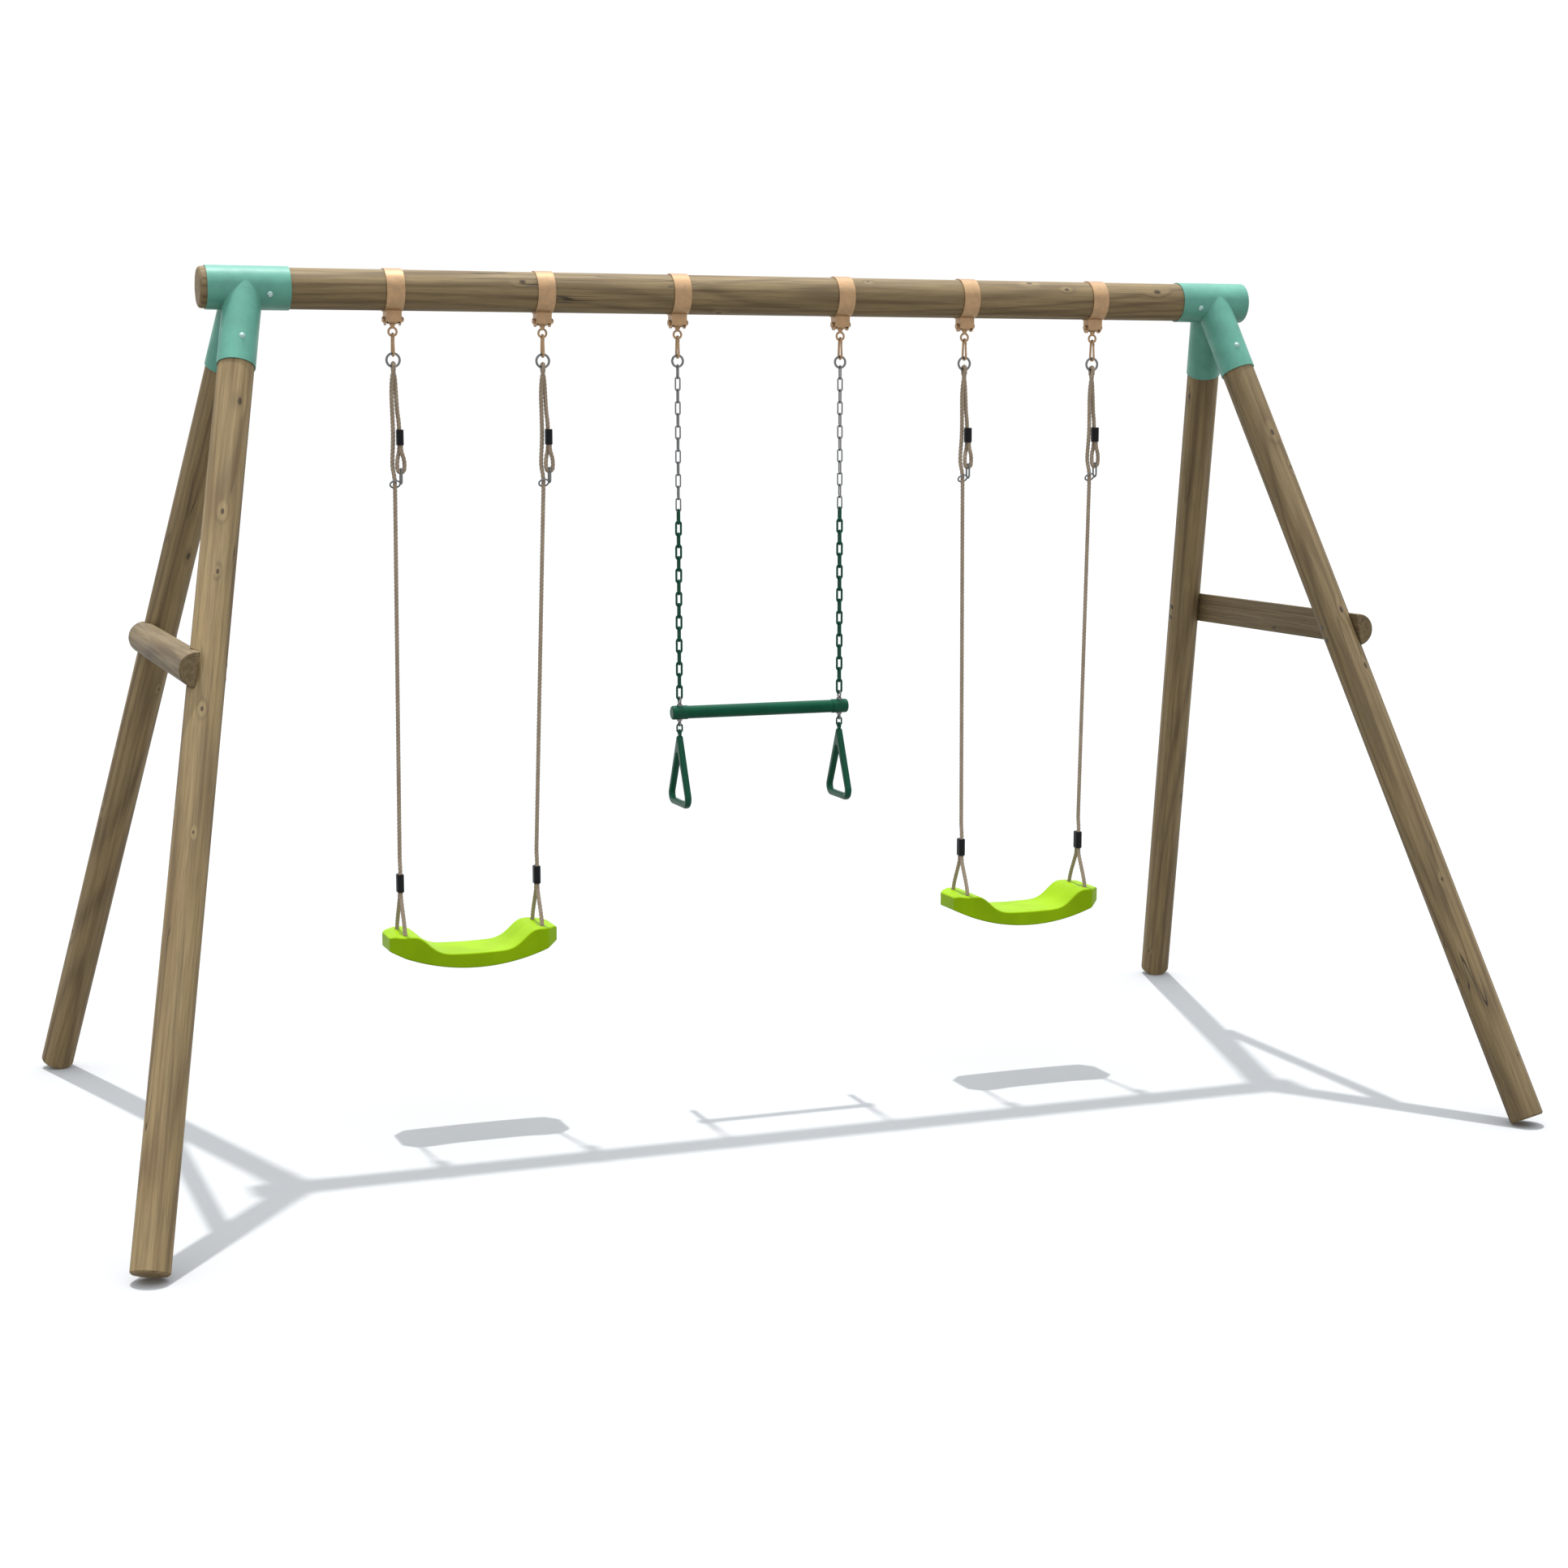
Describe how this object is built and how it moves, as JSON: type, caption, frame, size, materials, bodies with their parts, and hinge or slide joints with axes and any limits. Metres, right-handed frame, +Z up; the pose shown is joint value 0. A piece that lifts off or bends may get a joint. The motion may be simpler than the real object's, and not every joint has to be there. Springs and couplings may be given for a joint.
{
  "type": "swing set",
  "caption": "Round-timber swing set: a beam on two splayed A-frames carries two rope swings with moulded seats and a chain trapeze bar with hanging hand grips.",
  "frame": {"origin": "on the ground under the middle of the frame", "axes": "+X along the beam to the right, +Y to the rear (the direction of swing), +Z up"},
  "size_m": [3.577, 2.06, 2.1773],
  "materials": {
    "brown_steel": "brown coated",
    "green_coating": "plastic dip coating, dark green",
    "teal_steel": "powder coated, satin",
    "timber": "planed round softwood, pressure treated, greenish brown",
    "screw_steel": "zinc plated",
    "green_plastic": "moulded plastic, dark green",
    "bronze_steel": "yellow passivated zinc, satin",
    "black_plastic": "black moulded nylon",
    "zinc_steel": "bright zinc plated",
    "rope": "laid polypropylene rope, hemp colour",
    "lime_plastic": "moulded polyethylene, lime green",
    "green_paint": "powder coated, dark green"
  },
  "bodies": {
    "frame": {"brace_screws": "brown_steel", "corner_bracket_left": "teal_steel", "corner_bracket_right": "teal_steel", "cross_brace_left": "timber", "cross_brace_right": "timber", "dome_screws": "screw_steel", "front_leg_left": "timber", "front_leg_right": "timber", "hanger_bolts": "bronze_steel", "hanger_strap_1": "bronze_steel", "hanger_strap_2": "bronze_steel", "hanger_strap_3": "bronze_steel", "hanger_strap_4": "bronze_steel", "hanger_strap_5": "bronze_steel", "hanger_strap_6": "bronze_steel", "rear_leg_left": "timber", "rear_leg_right": "timber", "top_beam": "timber"},
    "left_swing": {"hanger_bushes_left_swing": "black_plastic", "hanger_eyes_left_swing": "bronze_steel", "snap_hook_1": "bronze_steel", "snap_hook_2": "bronze_steel", "hanging_rings_left_swing": "zinc_steel", "rope_left_swing_left": "rope", "rope_left_swing_right": "rope", "rope_adjusters_left_swing": "zinc_steel", "rope_ferrules_left_swing": "black_plastic", "seat_left_swing": "lime_plastic"},
    "snap_gate_1_body": {"snap_gate_1": "bronze_steel"},
    "snap_gate_2_body": {"snap_gate_2": "bronze_steel"},
    "trapeze": {"hanger_bushes_trapeze": "black_plastic", "hanger_eyes_trapeze": "bronze_steel", "snap_hook_3": "bronze_steel", "snap_hook_4": "bronze_steel", "hanging_rings_trapeze": "zinc_steel", "zinc_chain_left": "zinc_steel", "zinc_chain_right": "zinc_steel", "coated_chain_left": "green_coating", "coated_chain_right": "green_coating", "trapeze_bar": "green_paint", "trapeze_end_caps": "green_plastic", "trapeze_eye_bolts": "zinc_steel"},
    "snap_gate_3_body": {"snap_gate_3": "bronze_steel"},
    "snap_gate_4_body": {"snap_gate_4": "bronze_steel"},
    "right_swing": {"hanger_bushes_right_swing": "black_plastic", "hanger_eyes_right_swing": "bronze_steel", "snap_hook_5": "bronze_steel", "snap_hook_6": "bronze_steel", "hanging_rings_right_swing": "zinc_steel", "rope_right_swing_left": "rope", "rope_right_swing_right": "rope", "rope_adjusters_right_swing": "zinc_steel", "rope_ferrules_right_swing": "black_plastic", "seat_right_swing": "lime_plastic"},
    "snap_gate_5_body": {"snap_gate_5": "bronze_steel"},
    "snap_gate_6_body": {"snap_gate_6": "bronze_steel"},
    "handle_link_left_body": {"handle_link_left": "green_coating"},
    "handle_left_body": {"handle_left": "green_plastic"},
    "handle_link_right_body": {"handle_link_right": "green_coating"},
    "handle_right_body": {"handle_right": "green_plastic"}
  },
  "joints": [
    {"name": "left_swing_pivot", "type": "hinge", "parent": "frame", "child": "left_swing", "pos_m": [-0.774, 0, 2.0533], "axis": [1, 0, 0], "range_deg": [-50, 50]},
    {"name": "gate_1", "type": "hinge", "parent": "left_swing", "child": "snap_gate_1_body", "pos_m": [-0.965, -0.00749, 2.00704], "axis": [1, 0, 0], "range_deg": [0, 22], "stiffness_Nm_per_rad": 0.05, "springref_deg": -11.46},
    {"name": "gate_2", "type": "hinge", "parent": "left_swing", "child": "snap_gate_2_body", "pos_m": [-0.583, -0.00749, 2.00704], "axis": [1, 0, 0], "range_deg": [0, 22], "stiffness_Nm_per_rad": 0.05, "springref_deg": -11.46},
    {"name": "trapeze_pivot", "type": "hinge", "parent": "frame", "child": "trapeze", "pos_m": [0, 0, 2.0533], "axis": [1, 0, 0], "range_deg": [-50, 50]},
    {"name": "gate_3", "type": "hinge", "parent": "trapeze", "child": "snap_gate_3_body", "pos_m": [-0.225, -0.00749, 2.00704], "axis": [1, 0, 0], "range_deg": [0, 22], "stiffness_Nm_per_rad": 0.05, "springref_deg": -11.46},
    {"name": "gate_4", "type": "hinge", "parent": "trapeze", "child": "snap_gate_4_body", "pos_m": [0.225, -0.00749, 2.00704], "axis": [1, 0, 0], "range_deg": [0, 22], "stiffness_Nm_per_rad": 0.05, "springref_deg": -11.46},
    {"name": "right_swing_pivot", "type": "hinge", "parent": "frame", "child": "right_swing", "pos_m": [0.774, 0, 2.0533], "axis": [1, 0, 0], "range_deg": [-50, 50]},
    {"name": "gate_5", "type": "hinge", "parent": "right_swing", "child": "snap_gate_5_body", "pos_m": [0.583, -0.00749, 2.00704], "axis": [1, 0, 0], "range_deg": [0, 22], "stiffness_Nm_per_rad": 0.05, "springref_deg": -11.46},
    {"name": "gate_6", "type": "hinge", "parent": "right_swing", "child": "snap_gate_6_body", "pos_m": [0.965, -0.00749, 2.00704], "axis": [1, 0, 0], "range_deg": [0, 22], "stiffness_Nm_per_rad": 0.05, "springref_deg": -11.46},
    {"name": "handle_link_left_swing", "type": "hinge", "parent": "trapeze", "child": "handle_link_left_body", "pos_m": [-0.225, 0, 1.0134], "axis": [0, 1, 0], "range_deg": [-35, 35]},
    {"name": "handle_left_swing", "type": "hinge", "parent": "handle_link_left_body", "child": "handle_left_body", "pos_m": [-0.225, 0, 0.9957], "axis": [1, 0, 0], "range_deg": [-60, 60]},
    {"name": "handle_link_right_swing", "type": "hinge", "parent": "trapeze", "child": "handle_link_right_body", "pos_m": [0.225, 0, 1.0134], "axis": [0, 1, 0], "range_deg": [-35, 35]},
    {"name": "handle_right_swing", "type": "hinge", "parent": "handle_link_right_body", "child": "handle_right_body", "pos_m": [0.225, 0, 0.9957], "axis": [1, 0, 0], "range_deg": [-60, 60]}
  ]
}
